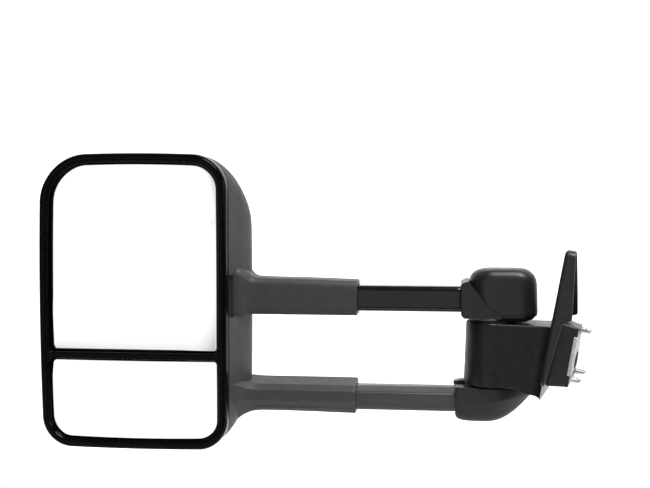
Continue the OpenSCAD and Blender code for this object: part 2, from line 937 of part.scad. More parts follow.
module pitch_plunger() {
    plunger(gimbal_x, upper_z - jack_drop);
}

module upper_outline(inset) {
    upper_window(bezel_lip + glass_gap + inset, bar_r - 1, glass_gap + inset);
}

module lower_outline(inset) {
    lower_window(bezel_lip + glass_gap + inset, bar_r - 1, glass_gap + inset);
}

module upper_glass() {
    color("#e8ecee")
        slab_y(glass_y, tray_y)
            upper_outline(0);
}

// Socket cup on the tray for a plunger's ball
module socket_cup(x, z) {
    cyl_y(x, z, tray_back - 0.5, gimbal_y + 1, ball_r + 2.4);
}

module upper_glass_holder() {
    color("#1f1f21")
        difference() {
            union() {
                slab_y(tray_y, tray_back)
                    upper_outline(0.5);
                socket_cup(gimbal_x + jack_arm, upper_z);
                socket_cup(gimbal_x, upper_z - jack_drop);
                glass_ears(upper_z);
            }
            cyl_y(gimbal_x + jack_arm, upper_z, tray_y - 1, 0, ball_r + 0.7);
            cyl_y(gimbal_x, upper_z - jack_drop, tray_y - 1, 0, ball_r + 0.7);
            box3(gimbal_x - 8, gimbal_x + 8, tray_y - 1, -20, upper_z - 13, upper_z + 16);
        }
}

// Convex glass: a flat back and a front turned about its middle
bulge = 3;
module lower_glass() {
    reach = 94;
    color("#e8ecee")
        intersection() {
            slab_y(glass_y - bulge - 1, tray_y)
                lower_outline(0);
            translate([gimbal_x, tray_y, lower_z])
                rotate([90, 0, 0])
                    rotate_extrude($fn = 72)
                        polygon(concat([[0, 0], [reach, 0]],
                                       [for (i = [8:-1:0])
                                           [reach * i / 8, glass_t + bulge * (1 - pow(i / 8, 2))]]));
        }
}

module lower_glass_holder() {
    color("#1f1f21")
        difference() {
            union() {
                slab_y(tray_y, tray_back)
                    lower_outline(0.5);
                glass_ears(lower_z);
            }
            box3(gimbal_x - 8, gimbal_x + 8, tray_y - 1, -20, lower_z - 16, lower_z + 16);
        }
}

door_bracket();
mounting_block();
sail_cover();
door_gasket();
door_studs();
harness_grommet();
on_arm() pivot_bushes();
on_arm() thrust_washers();
on_arm() hinge_pin();
on_arm() lower_knuckle();
on_arm() upper_knuckle();
on_arm() pivot_cap();
on_arm() spring_seat();
on_arm() pivot_spring();
on_arm() spring_washer();
on_arm() pivot_nut();
on_arm() upper_tube();
on_arm() lower_tube();
on_arm() upper_tube_plug();
on_arm() lower_tube_plug();
on_arm() tube_screws();
on_arm() rear_cover();
on_arm() bezel();
on_arm() chassis();
on_arm() upper_sleeve();
on_arm() lower_sleeve();
on_arm() sleeve_bushes();
on_arm() detent_springs();
on_arm() actuator_housing();
on_arm() actuator_cover();
on_arm() actuator_motors();
on_arm() cover_screws();
on_arm() sleeve_screws();
on_arm() actuator_gimbal();
on_arm() yaw_plunger();
on_arm() pitch_plunger();
on_arm() upper_glass();
on_arm() upper_glass_holder();
on_arm() lower_gimbal();
on_arm() lower_glass();
on_arm() lower_glass_holder();
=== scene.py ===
import json
import math

import bmesh
import bpy
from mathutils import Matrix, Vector


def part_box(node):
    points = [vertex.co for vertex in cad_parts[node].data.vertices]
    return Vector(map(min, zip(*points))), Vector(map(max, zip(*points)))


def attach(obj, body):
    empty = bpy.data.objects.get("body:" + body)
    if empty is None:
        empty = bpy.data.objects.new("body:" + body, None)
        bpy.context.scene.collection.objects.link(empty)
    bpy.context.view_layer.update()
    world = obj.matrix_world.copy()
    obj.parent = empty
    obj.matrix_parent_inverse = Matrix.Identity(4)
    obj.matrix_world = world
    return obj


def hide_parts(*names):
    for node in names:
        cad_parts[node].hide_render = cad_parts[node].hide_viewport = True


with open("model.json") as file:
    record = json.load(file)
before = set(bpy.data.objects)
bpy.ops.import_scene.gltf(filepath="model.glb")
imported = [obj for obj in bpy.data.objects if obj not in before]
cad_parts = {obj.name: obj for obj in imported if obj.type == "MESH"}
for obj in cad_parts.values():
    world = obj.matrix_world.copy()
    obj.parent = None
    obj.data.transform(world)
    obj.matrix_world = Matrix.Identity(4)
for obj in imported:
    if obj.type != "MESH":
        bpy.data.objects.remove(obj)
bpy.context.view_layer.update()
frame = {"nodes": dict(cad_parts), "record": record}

MM = 0.001


# ---- places taken from the frame ----

record = frame["record"]
mounts = {m["name"]: m for m in record["mounts"]}
joints = {j["name"]: j for j in record["behaviour"]["joints"]}
door_normal = Vector(mounts["door_studs"]["axis"]).normalized()
stud_circle = mounts["door_studs"]["dims"]["pcd_mm"] / 2
stud_r = mounts["door_studs"]["dims"]["stud_r_mm"]

# The arm and the head are drawn in mm from an origin that lies this far inboard of the fold pivot
PIVOT_OUT = 81.5
ARM_AT = Vector(joints["fold"]["pos_m"]) + Vector((PIVOT_OUT * MM, 0, 0))
PX = -PIVOT_OUT


class Box:
    """The six sides of a CAD node at rest, in mm from the arm's origin."""

    def __init__(self, node):
        lo, hi = [(corner - ARM_AT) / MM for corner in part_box(node)]
        self.x0, self.y0, self.z0 = lo
        self.x1, self.y1, self.z1 = hi
        self.cz = (lo.z + hi.z) / 2


bezel = Box("bezel")
utube = Box("upper_tube")
ltube = Box("lower_tube")
uglass = Box("upper_glass")
lglass = Box("lower_glass")

# The door face's own axes: forward along the face is level, up is square to both
door_forward = Vector((-door_normal.y, door_normal.x, 0)).normalized()
door_up = door_normal.cross(door_forward)


def on_door(x, y, z):
    """A point in the door face's own axes: x into the door, y forward, z up."""
    return door_normal * x + door_forward * y + door_up * z


# ---- mesh helpers ----

# Edges steeper than this, in degrees, are kept sharp after a cut or a join
CUT_SHARP = 38


def join(parts):
    """Vertices and faces of several closed shapes as one list of each."""
    verts, faces = [], []
    for v, f in parts:
        base = len(verts)
        verts += v
        faces += [tuple(i + base for i in face) for face in f]
    return verts, faces


def loft(rings, ends=True):
    """Skin over rings of equal length; with ends False the last ring joins the first."""
    n = len(rings[0])
    verts = [Vector(p) for ring in rings for p in ring]
    faces = []
    for i in range(len(rings) - 1 if ends else len(rings)):
        a, b = i * n, (i + 1) % len(rings) * n
        for j in range(n):
            k = (j + 1) % n
            faces.append((a + j, a + k, b + k, b + j))
    if ends:
        faces.append(tuple(range(n - 1, -1, -1)))
        faces.append(tuple((len(rings) - 1) * n + j for j in range(n)))
    return verts, faces


def shell(outer, inner):
    """Closed shell: outer rings from the rim to the far end, inner rings back to the rim."""
    n, m = len(outer[0]), len(outer)
    rings = outer + inner
    verts = [Vector(p) for ring in rings for p in ring]
    pairs = [(i, (i + 1) % len(rings)) for i in range(len(rings)) if i != m - 1]
    faces = [(a * n + j, a * n + (j + 1) % n, b * n + (j + 1) % n, b * n + j)
             for a, b in pairs for j in range(n)]
    faces.append(tuple((m - 1) * n + j for j in range(n)))
    faces.append(tuple(m * n + j for j in range(n - 1, -1, -1)))
    return verts, faces


def outline(a0, a1, b0, b1, radii, bows=(0, 0, 0, 0), arc=10, side=6):
    """Rounded rectangle as (a, b) pairs, anticlockwise from its right side.

    radii are top right, top left, bottom left, bottom right. bows, for right, top, left and
    bottom, are how far the ends of that side draw in from its middle."""
    centres = [(a1, b1, -1, -1, 0), (a0, b1, 1, -1, 90), (a0, b0, 1, 1, 180), (a1, b0, -1, 1, 270)]
    points = []
    for (ca, cb, sa, sb, start), r in zip(centres, radii):
        r = max(r, 1e-5)
        corner = [(ca + sa * r + r * math.cos(math.radians(start + 90 * i / arc)),
                   cb + sb * r + r * math.sin(math.radians(start + 90 * i / arc)))
                  for i in range(arc + 1)]
        points.append(corner)
    full = []
    for i, corner in enumerate(points):
        full += corner
        p, q = corner[-1], points[(i + 1) % 4][0]
        full += [(p[0] + (q[0] - p[0]) * s / side, p[1] + (q[1] - p[1]) * s / side)
                 for s in range(1, side)]
    ma, mb, ha, hb = (a0 + a1) / 2, (b0 + b1) / 2, (a1 - a0) / 2, (b1 - b0) / 2
    bowed = []
    for a, b in full:
        u, v = (a - ma) / ha, (b - mb) / hb
        da = -bows[0] * max(u, 0) * v * v + bows[2] * max(-u, 0) * v * v
        db = -bows[1] * max(v, 0) * u * u + bows[3] * max(-v, 0) * u * u
        bowed.append((a + da, b + db))
    return bowed


def rounded_loop(points, arc=5):
    """Polygon of (a, b, radius) corners with each corner rounded by the same count of points."""
    out = []
    n = len(points)
    for i, (a, b, r) in enumerate(points):
        p = Vector((a, b))
        u = Vector(points[i - 1][:2]) - p
        v = Vector(points[(i + 1) % n][:2]) - p
        reach = min(r / math.tan(max(u.angle(v), 0.05) / 2), u.length * 0.49, v.length * 0.49)
        s, e = p + u.normalized() * reach, p + v.normalized() * reach
        for k in range(arc + 1):
            t = k / arc
            out.append(tuple(s * (1 - t) ** 2 + p * 2 * t * (1 - t) + e * t * t))
    return out


def smooth_step(t):
    """0 to 1 with a level start and end."""
    t = min(1.0, max(0.0, t))
    return t * t * (3 - 2 * t)


def mix(a, b, t):
    """The value a share t of the way from a to b."""
    return a + (b - a) * t


def curve_at(rows, x):
    """Catmull-Rom value of a table of rows (x, value, ...) at x, as a list of the values."""
    if x <= rows[0][0]:
        return list(rows[0][1:])
    if x >= rows[-1][0]:
        return list(rows[-1][1:])
    i = max(k for k in range(len(rows) - 1) if rows[k][0] <= x)
    p1, p2 = rows[i], rows[i + 1]
    p0, p3 = rows[max(i - 1, 0)], rows[min(i + 2, len(rows) - 1)]
    h = p2[0] - p1[0]
    t = (x - p1[0]) / h
    out = []
    for k in range(1, len(p1)):
        m1 = (p2[k] - p0[k]) / (p2[0] - p0[0]) * h
        m2 = (p3[k] - p1[k]) / (p3[0] - p1[0]) * h
        out.append((2 * t**3 - 3 * t**2 + 1) * p1[k] + (t**3 - 2 * t**2 + t) * m1
                   + (3 * t**2 - 2 * t**3) * p2[k] + (t**3 - t**2) * m2)
    return out


def boolean(obj, verts, faces, operation):
    """Cuts a closed shape from obj or joins it on, and keeps the result as obj's own mesh."""
    mesh = bpy.data.meshes.new("cutter")
    mesh.from_pydata([tuple(v) for v in verts], [], faces)
    bm = bmesh.new()
    bm.from_mesh(mesh)
    bmesh.ops.recalc_face_normals(bm, faces=bm.faces)
    bm.to_mesh(mesh)
    bm.free()
    tool = bpy.data.objects.new("cutter", mesh)
    bpy.context.scene.collection.objects.link(tool)
    mod = obj.modifiers.new("cut", "BOOLEAN")
    mod.operation, mod.object, mod.solver = operation, tool, "EXACT"
    graph = bpy.context.evaluated_depsgraph_get()
    made = bpy.data.meshes.new_from_object(obj.evaluated_get(graph))
    made.name = obj.name
    obj.modifiers.clear()
    obj.data = made
    made.shade_smooth()
    made.set_sharp_from_angle(angle=math.radians(CUT_SHARP))
    bpy.data.objects.remove(tool)
    bpy.data.meshes.remove(mesh)


# ---- materials ----

def shader(name, colour, roughness, metallic=0.0, level=0.5, coat=0.0, coat_roughness=0.1):
    mat = bpy.data.materials.new(name)
    mat.use_nodes = True
    tree = mat.node_tree
    bsdf = tree.nodes["Principled BSDF"]
    bsdf.inputs["Base Color"].default_value = (*colour, 1)
    bsdf.inputs["Roughness"].default_value = roughness
    bsdf.inputs["Metallic"].default_value = metallic
    bsdf.inputs["Specular IOR Level"].default_value = level
    bsdf.inputs["Coat Weight"].default_value = coat
    bsdf.inputs["Coat Roughness"].default_value = coat_roughness
    return mat, tree, bsdf


def noise(tree, scale, detail=2.0, stretch=(1, 1, 1)):
    coord = tree.nodes.new("ShaderNodeTexCoord")
    mapping = tree.nodes.new("ShaderNodeMapping")
    mapping.inputs["Scale"].default_value = stretch
    tex = tree.nodes.new("ShaderNodeTexNoise")
    tex.inputs["Scale"].default_value = scale
    tex.inputs["Detail"].default_value = detail
    tree.links.new(coord.outputs["Object"], mapping.inputs["Vector"])
    tree.links.new(mapping.outputs["Vector"], tex.inputs["Vector"])
    return tex.outputs["Fac"]


def cells(tree, scale):
    coord = tree.nodes.new("ShaderNodeTexCoord")
    tex = tree.nodes.new("ShaderNodeTexVoronoi")
    tex.inputs["Scale"].default_value = scale
    tree.links.new(coord.outputs["Object"], tex.inputs["Vector"])
    return tex.outputs["Distance"]


# The stretch of a noise's value over which a material goes from one extreme to the other
NOISE_LOW, NOISE_HIGH = 0.35, 0.65


def vary_colour(tree, bsdf, fac, dark, light):
    ramp = tree.nodes.new("ShaderNodeValToRGB")
    ramp.color_ramp.elements[0].position = NOISE_LOW
    ramp.color_ramp.elements[1].position = NOISE_HIGH
    ramp.color_ramp.elements[0].color = (*dark, 1)
    ramp.color_ramp.elements[1].color = (*light, 1)
    tree.links.new(fac, ramp.inputs["Fac"])
    tree.links.new(ramp.outputs["Color"], bsdf.inputs["Base Color"])


def vary_roughness(tree, bsdf, fac, low, high):
    span = tree.nodes.new("ShaderNodeMapRange")
    span.inputs["From Min"].default_value = NOISE_LOW
    span.inputs["From Max"].default_value = NOISE_HIGH
    span.inputs["To Min"].default_value = low
    span.inputs["To Max"].default_value = high
    tree.links.new(fac, span.inputs["Value"])
    tree.links.new(span.outputs["Result"], bsdf.inputs["Roughness"])


def bump(tree, bsdf, fac, distance, strength=1.0):
    node = tree.nodes.new("ShaderNodeBump")
    node.inputs["Distance"].default_value = distance
    node.inputs["Strength"].default_value = strength
    tree.links.new(fac, node.inputs["Height"])
    tree.links.new(node.outputs["Normal"], bsdf.inputs["Normal"])


MOTTLE_SCALE, GLOSS_SCALE = 240, 90


def moulded(name, dark, light, rough, grain, depth, level=0.5):
    """Moulded plastic: fine grain, slight mottling of tone and gloss."""
    mat, tree, bsdf = shader(name, light, sum(rough) / 2, level=level)
    vary_colour(tree, bsdf, noise(tree, MOTTLE_SCALE, 3), dark, light)
    vary_roughness(tree, bsdf, noise(tree, GLOSS_SCALE, 3), *rough)
    bump(tree, bsdf, noise(tree, grain, 3), depth, 0.6)
    return mat


def metal(name, dark, light, rough, grain, depth, stretch=(1, 1, 1)):
    """Bare metal: cloudy tone, uneven polish and fine grain."""
    mat, tree, bsdf = shader(name, light, sum(rough) / 2, metallic=1.0)
    vary_colour(tree, bsdf, noise(tree, grain / 8, 3, stretch), dark, light)
    vary_roughness(tree, bsdf, noise(tree, grain / 3, 3, stretch), *rough)
    bump(tree, bsdf, noise(tree, grain, 2, stretch), depth, 0.5)
    return mat


def tube_paint(name, dark, light, rough, level, coat):
    """Paint over a drawn tube, with the faint lengthwise lines of the drawing."""
    mat, tree, bsdf = shader(name, light, sum(rough) / 2, level=level, coat=coat,
                             coat_roughness=0.08)
    lines = noise(tree, 900, 2, (0.03, 1, 1))
    vary_colour(tree, bsdf, noise(tree, 60, 2, (0.1, 1, 1)), dark, light)
    vary_roughness(tree, bsdf, noise(tree, GLOSS_SCALE, 3), *rough)
    bump(tree, bsdf, lines, 0.00002, 0.5)
    return mat


def mirror():
    """Silvered glass with a trace of waviness."""
    mat, tree, bsdf = shader("mirror_glass", (0.95, 0.955, 0.96), 0.015, metallic=1.0)
    vary_roughness(tree, bsdf, noise(tree, 12, 2), 0.012, 0.025)
    bump(tree, bsdf, noise(tree, 9, 1), 0.00001, 0.2)
    return mat


def foam():
    """Closed-cell foam: pale cells with dark walls."""
    mat, tree, bsdf = shader("gasket_foam", (0.42, 0.42, 0.45), 0.85, level=0.3)
    vary_colour(tree, bsdf, cells(tree, 900), (0.3, 0.3, 0.32), (0.5, 0.5, 0.54))
    bump(tree, bsdf, cells(tree, 1400), 0.0003, 0.6)
    return mat


MATERIALS = {
    "textured_black": moulded("textured_black", (0.026, 0.026, 0.028), (0.032, 0.032, 0.035),
                              (0.50, 0.56), 1500, 0.00022, 0.4),
    "satin_black": moulded("satin_black", (0.009, 0.009, 0.010), (0.012, 0.012, 0.013),
                           (0.34, 0.42), 2200, 0.00010, 0.3),
    "cast_black": moulded("cast_black", (0.005, 0.005, 0.006), (0.008, 0.008, 0.009),
                          (0.34, 0.44), 500, 0.0003, 0.22),
    "gloss_black": moulded("gloss_black", (0.0012, 0.0012, 0.0015), (0.002, 0.002, 0.0025),
                           (0.14, 0.20), 300, 0.00001, 0.05),
    "tube_gloss": tube_paint("tube_gloss", (0.002, 0.002, 0.0025), (0.004, 0.004, 0.0045),
                             (0.10, 0.16), 0.3, 0.0),
    "tube_satin": tube_paint("tube_satin", (0.022, 0.022, 0.024), (0.032, 0.032, 0.034),
                             (0.3, 0.4), 0.5, 0.0),
    "mirror_glass": mirror(),
    "tray_black": moulded("tray_black", (0.016, 0.016, 0.017), (0.024, 0.024, 0.025),
                          (0.5, 0.62), 1800, 0.0001, 0.3),
    "bearing_plastic": moulded("bearing_plastic", (0.62, 0.60, 0.54), (0.72, 0.70, 0.64),
                               (0.4, 0.5), 800, 0.00006),
    "zinc_steel": metal("zinc_steel", (0.50, 0.50, 0.52), (0.72, 0.72, 0.73), (0.22, 0.34),
                        1200, 0.00004),
    "spring_steel": metal("spring_steel", (0.30, 0.30, 0.32), (0.45, 0.45, 0.47), (0.28, 0.4),
                          1400, 0.00004, (1, 1, 0.2)),
    "cast_zinc": metal("cast_zinc", (0.40, 0.40, 0.41), (0.52, 0.52, 0.53), (0.45, 0.6),
                       700, 0.0002),
    "gasket_foam": foam(),
    "grommet_rubber": moulded("grommet_rubber", (0.018, 0.018, 0.018), (0.03, 0.03, 0.03),
                              (0.62, 0.74), 1300, 0.0001, 0.3),
}
SLOTS = {s["node"]: s["material_slot"] for s in record["subparts"]}
BODIES = {n: b for b, nodes in record["behaviour"]["bodies"].items() for n in nodes}


def piece_for(node, verts, faces, sharp=40):
    """A closed mesh that stands for a CAD node, rides on its body and has its material."""
    name = node + "_skin"
    mesh = bpy.data.meshes.new(name)
    mesh.from_pydata([tuple(v) for v in verts], [], faces)
    bm = bmesh.new()
    bm.from_mesh(mesh)
    bmesh.ops.remove_doubles(bm, verts=bm.verts, dist=1e-6)
    bmesh.ops.recalc_face_normals(bm, faces=bm.faces)
    bm.to_mesh(mesh)
    bm.free()
    mesh.shade_smooth()
    mesh.set_sharp_from_angle(angle=math.radians(sharp))
    obj = bpy.data.objects.new(name, mesh)
    bpy.context.scene.collection.objects.link(obj)
    obj.data.materials.append(MATERIALS[SLOTS[node]])
    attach(obj, BODIES[node])
    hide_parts(node)
    return obj


def on_arm(shape):
    """A shape of the arm or the head, from mm to metres in the object's frame."""
    verts, faces = shape
    return [Vector(v) * MM + ARM_AT for v in verts], faces


def at_door(shape):
    """A shape of the door side, from mm to metres in the object's frame."""
    verts, faces = shape
    return [Vector(v) * MM for v in verts], faces


# ---- head: casing ----

# Sections of the casing from the bezel to the crease round its back, in mm: y, outboard x,
# inboard x, bottom z, top z, four radii and four bows in the order of outline()
CASING = [
    (-33.2, -502.8, -325.2, -85.2, 190.1, 32, 44, 28, 27, 0.2, 2.6, 2.5, 1.5),
    (-24, -502.6, -320.6, -85.0, 189.8, 35, 44, 28, 31, 0.4, 2.8, 2.5, 1.8),
    (-12, -501.8, -314.2, -84.4, 189.0, 46, 44, 29, 44, 0.8, 3.0, 2.6, 2.2),
    (0, -500.2, -309.9, -83.2, 187.6, 60, 45, 30, 60, 1.0, 3.4, 2.8, 2.6),
    (12, -497.4, -311.2, -80.8, 185.2, 64, 46, 32, 66, 1.2, 3.8, 3.0, 3.0),
    (22, -493.4, -313.2, -77.4, 181.8, 64, 47, 34, 68, 1.4, 4.2, 3.2, 3.2),
    (29, -488.6, -316.4, -72.8, 177.2, 62, 47, 36, 66, 1.6, 4.6, 3.4, 3.4),
    (33.4, -482.6, -321.4, -67.4, 171.4, 58, 45, 36, 62, 1.6, 5.0, 3.6, 3.4),
    (35.6, -477.2, -326.2, -62.4, 166.2, 55, 42, 34, 58, 1.6, 5.0, 3.6, 3.4)]
# The crowned back: its middle, its rings, how far the last one shrinks and how fast it flattens
CROWN_X, CROWN_Y, CROWN_Z = -402, 41.6, 54
CROWN_RINGS, CROWN_SHRINK, CROWN_POWER = 9, 0.97, 2.2
# The hollow ends at INNER_Y. Its wall is thin at the bezel and thick round the back
INNER_Y, THIN_WALL, THICK_WALL = 24, 2.6, 9.5
THICKEN_Y0, THICKEN_Y1 = -8, 18


def casing_ring(y, inset=0.0):
    """Outline of the casing at y, drawn in by inset."""
    x0, x1, z0, z1, *rest = curve_at(CASING, y)
    radii = [max(r - inset, 2) for r in rest[:4]]
    flat = outline(x0 + inset, x1 - inset, z0 + inset, z1 - inset, radii, rest[4:], arc=16, side=12)
    return [(x, y, z) for x, z in flat]


def casing():
    """Hollow casing with a crowned back."""
    front, crease = CASING[0][0], CASING[-1][0]
    outer = [casing_ring(mix(front, crease, i / 44)) for i in range(45)]
    edge = outer[-1]
    for i in range(1, CROWN_RINGS + 1):
        t = i / CROWN_RINGS
        k = 1 - CROWN_SHRINK * t
        y = crease + (CROWN_Y - crease) * (1 - (1 - t) ** CROWN_POWER)
        outer.append([(CROWN_X + (x - CROWN_X) * k, y, CROWN_Z + (z - CROWN_Z) * k)
                      for x, _, z in edge])
    inner = []
    for i in range(16):
        y = mix(INNER_Y, front, i / 15)
        thicken = smooth_step((y - THICKEN_Y0) / (THICKEN_Y1 - THICKEN_Y0))
        inner.append(casing_ring(y, mix(THIN_WALL, THICK_WALL, thicken)))
    return on_arm(shell(outer, inner))


# The back is never nearer than this. The scoops end inside the sleeves and rise a little outboard
BACK_LEAST_Y = 30
SCOOP_END_X, SCOOP_RISE = -296, 2.0


def back_y(x, z):
    """y of the casing's back at x and z; past its edge, that of the nearest point inside."""
    for step in range(60):
        start = Vector((x - step, 120, z)) * MM + ARM_AT
        hit, place, _, _ = case.ray_cast(start, (0, -1, 0))
        if hit and (place.y - ARM_AT.y) / MM > BACK_LEAST_Y:
            return (place.y - ARM_AT.y) / MM
    return BACK_LEAST_Y


def scoop(z_line, tip_x):
    """Cutter for the groove that runs from a point on the back to a sleeve's root."""
    rings = []
    for i in range(41):
        t = i / 40
        x = mix(tip_x, SCOOP_END_X, t)
        # both grow from the tip to the root
        depth = 0.2 + 5.0 * smooth_step(t * 1.9) + 5.0 * smooth_step((t - 0.5) / 0.5)
        height = 3 + 15 * smooth_step(t * 1.6) + 6 * t
        base = z_line + SCOOP_RISE * (1 - t) ** 2
        ring = [(x, 60, base), (x, back_y(x, base) - depth, base)]
        for k in range(1, 15):
            u = k / 14
            z = base + height * u
            ring.append((x, back_y(x, z) - depth * (1 - smooth_step(u)) + 1.2 * u ** 3, z))
        ring += [(x, 60, base + height * 1.02)]
        rings.append(ring)
    return on_arm(loft(rings))


def bar_along_x(x0, x1, section):
    """Solid of one section between two places along the arm."""
    return on_arm(loft([[(x, y, z) for y, z in section] for x in (x0, x1)]))


def box_section(cz, w, h, r):
    """Rounded rectangle in Y and Z that is centred on the arm."""
    return outline(-w / 2, w / 2, cz - h / 2, cz + h / 2, (r,) * 4, arc=6, side=2)


# Height, width and depth of the two tubes
UT_Z, UT_W, UT_H = utube.cz, utube.y1 - utube.y0, utube.z1 - utube.z0
LT_Z, LT_W, LT_H = ltube.cz, ltube.y1 - ltube.y0, ltube.z1 - ltube.z0


def root_pocket():
    """Cutter for the pocket between the bezel and the slanting root of the upper sleeve."""
    side = rounded_loop([(-336, 37.0, 2), (-321.5, 37.0, 2), (-308.5, 77.0, 4), (-336, 77.0, 4)])
    return on_arm(loft([[(x, y, z) for x, z in side] for y in (-32.6, -25.8)]))


case = piece_for("rear_cover", *casing(), sharp=32)
bpy.context.view_layer.update()
for cutter in (scoop(38.4, -451), scoop(-53.4, -449)):
    boolean(case, *cutter, "DIFFERENCE")
boolean(case, *root_pocket(), "DIFFERENCE")
for cz, w, h in ((UT_Z, UT_W + 3, UT_H + 3), (LT_Z, LT_W + 3, LT_H + 3)):
    boolean(case, *bar_along_x(-345, -290, box_section(cz, w, h, 6)), "DIFFERENCE")


# ---- head: bezel ----

FRONT = bezel.y0
# Radii and bows in the order of outline()
BEZEL_RADII = (32, 44, 28, 27)
BEZEL_BOWS = (0.3, 2.6, 2.5, 1.5)


def bezel_outline(inset):
    """Outline of the frame, drawn in by inset."""
    radii = [max(r - inset, 1.5) for r in BEZEL_RADII]
    return outline(bezel.x0 + inset, bezel.x1 - inset, bezel.z0 + inset, bezel.z1 - inset, radii,
                   BEZEL_BOWS, arc=16, side=10)


def bezel_frame():
    """Frame round both windows, with a rolled face and a lip in front of the glasses."""
    # (inset, y behind the front) round the section of the frame
    profile = [(1.0, 17.0), (0.2, 15.6), (0, 12), (0, 6.0), (0.15, 4.2), (0.6, 2.6), (1.5, 1.2),
               (2.7, 0.35), (4.0, 0.02), (5.6, 0.05), (6.6, 0.4), (7.1, 1.0), (7.3, 1.8),
               (7.7, 2.2), (8.2, 2.4), (8.5, 2.9), (8.6, 3.6), (8.6, 4.4), (8.3, 5.0),
               (7.6, 5.2), (5.4, 6.4), (3.8, 7.6), (3.2, 9.5), (3.0, 17.0)]
    rings = [[(x, FRONT + d, z) for x, z in bezel_outline(inset)] for inset, d in profile]
    return on_arm(loft(rings, ends=False))


# Bar between the windows: bottom, top, how far its face and its back lie behind the frame's face
BAR_Z0, BAR_Z1, BAR_FACE, BAR_BACK = -1.4, 5.0, 1.1, 7.4


def bezel_bar():
    """Bar between the windows; its ends spread into the frame in small fillets."""
    rings = []
    x0, x1, fillet = bezel.x0 + 6, bezel.x1 - 6, 4.0
    inner0, inner1 = bezel.x0 + 9.4, bezel.x1 - 9.4
    for i in range(57):
        x = mix(x0, x1, 0.5 - 0.5 * math.cos(math.pi * i / 56))
        d = min(max(min(x - inner0, inner1 - x), 0.0), fillet)
        grow = fillet - math.sqrt(max(fillet ** 2 - (fillet - d) ** 2, 0))
        section = outline(FRONT + BAR_FACE, FRONT + BAR_BACK, BAR_Z0 - grow, BAR_Z1 + grow,
                          (1.5, 2.2, 2.2, 1.5), arc=5, side=2)
        rings.append([(x, y, z) for y, z in section])
    return on_arm(loft(rings))


frame_piece = piece_for("bezel", *bezel_frame(), sharp=50)
boolean(frame_piece, *bezel_bar(), "UNION")


# ---- head: glasses ----

GLASS_Y0, GLASS_Y1 = uglass.y0, uglass.y1
# The glasses' corners follow the frame's, this far in; those beside the bar have their own radius
GLASS_INSET = 10.2
BAR_SIDE_R = 3.0


def flat_glass():
    """Flat glass whose polished edge is rounded by a third of a millimetre."""
    radii = [max(r - GLASS_INSET, 2) for r in BEZEL_RADII[:2]] + [BAR_SIDE_R] * 2
    rings = []
    for inset, y in ((0.9, GLASS_Y1), (0.0, GLASS_Y1 - 0.4), (0.0, GLASS_Y0 + 0.35),
                     (0.12, GLASS_Y0 + 0.12), (0.4, GLASS_Y0)):
        flat = outline(uglass.x0 + inset, uglass.x1 - inset, uglass.z0 + inset,
                       uglass.z1 - inset, [r - inset for r in radii],
                       (0.3, 2.4, 2.2, 0), arc=14, side=10)
        rings.append([(x, y, z) for x, z in flat])
    return on_arm(loft(rings))


def convex_glass():
    """Glass with a flat back and a front that bulges towards its middle."""
    radii = [BAR_SIDE_R] * 2 + [max(r - GLASS_INSET, 2) for r in BEZEL_RADII[2:]]
    cx, cz = (lglass.x0 + lglass.x1) / 2, (lglass.z0 + lglass.z1) / 2
    reach = math.hypot(lglass.x1 - cx, lglass.z1 - cz)
    bulge = GLASS_Y0 - lglass.y0 - 0.05
    edge = outline(lglass.x0, lglass.x1, lglass.z0, lglass.z1, radii, (0.3, 0, 2.2, 1.3), arc=14,
                   side=10)

    def front(x, z, k):
        out = math.hypot(x - cx, z - cz) * k / reach
        return (cx + (x - cx) * k, GLASS_Y0 - bulge * (1 - out ** 2), cz + (z - cz) * k)

    rings = [[(x, GLASS_Y1, z) for x, z in edge]]
    rings += [[front(x, z, k) for x, z in edge]
              for k in [0.998] + [1 - i / 15 for i in range(1, 15)]]
    return on_arm(loft(rings))


piece_for("upper_glass", *flat_glass(), sharp=30)
piece_for("lower_glass", *convex_glass(), sharp=30)


# ---- head: sleeves ----

# Sections of a sleeve from its root to its mouth, in mm: x, rear y, front y, bottom z, top z,
# and four radii in the order forward top, rear top, rear bottom, forward bottom
UPPER_SLEEVE = [
    (-327.0, -25.4, 22.0, 33.5, 88.0, 9, 10, 4, 8),
    (-322.5, -25.0, 20.6, 35.4, 86.0, 9, 10, 4, 8),
    (-318.0, -23.8, 19.4, 37.0, 84.0, 8, 9, 4, 8),
    (-313.0, -21.4, 18.6, 38.2, 80.8, 8, 9, 4, 8),
    (-310.4, -20.0, 18.3, 38.5, 78.6, 8, 8, 5, 8),
    (-308.0, -19.1, 18.1, 38.6, 75.8, 8, 8, 5, 8),
    (-305.0, -18.4, 18.0, 38.7, 74.2, 8, 7, 5, 8),
    (-300.0, -18.1, 18.0, 38.7, 73.6, 8, 7, 5, 8),
    (-280.0, -18.0, 18.0, 38.7, 73.0, 8, 7, 5, 8),
    (-262.0, -18.0, 18.0, 38.7, 72.7, 8, 7, 5, 8),
    (-240.0, -18.0, 18.0, 38.7, 72.2, 8, 7, 5, 8),
    (-220.0, -18.0, 18.0, 38.7, 71.6, 8, 7, 5, 8),
    (-208.0, -18.0, 18.0, 38.7, 71.3, 8, 7, 5, 8),
    (-207.2, -17.6, 17.6, 39.1, 70.9, 7.6, 6.6, 4.6, 7.6),
    (-207.0, -17.0, 17.0, 39.7, 70.3, 7, 6, 4, 7)]


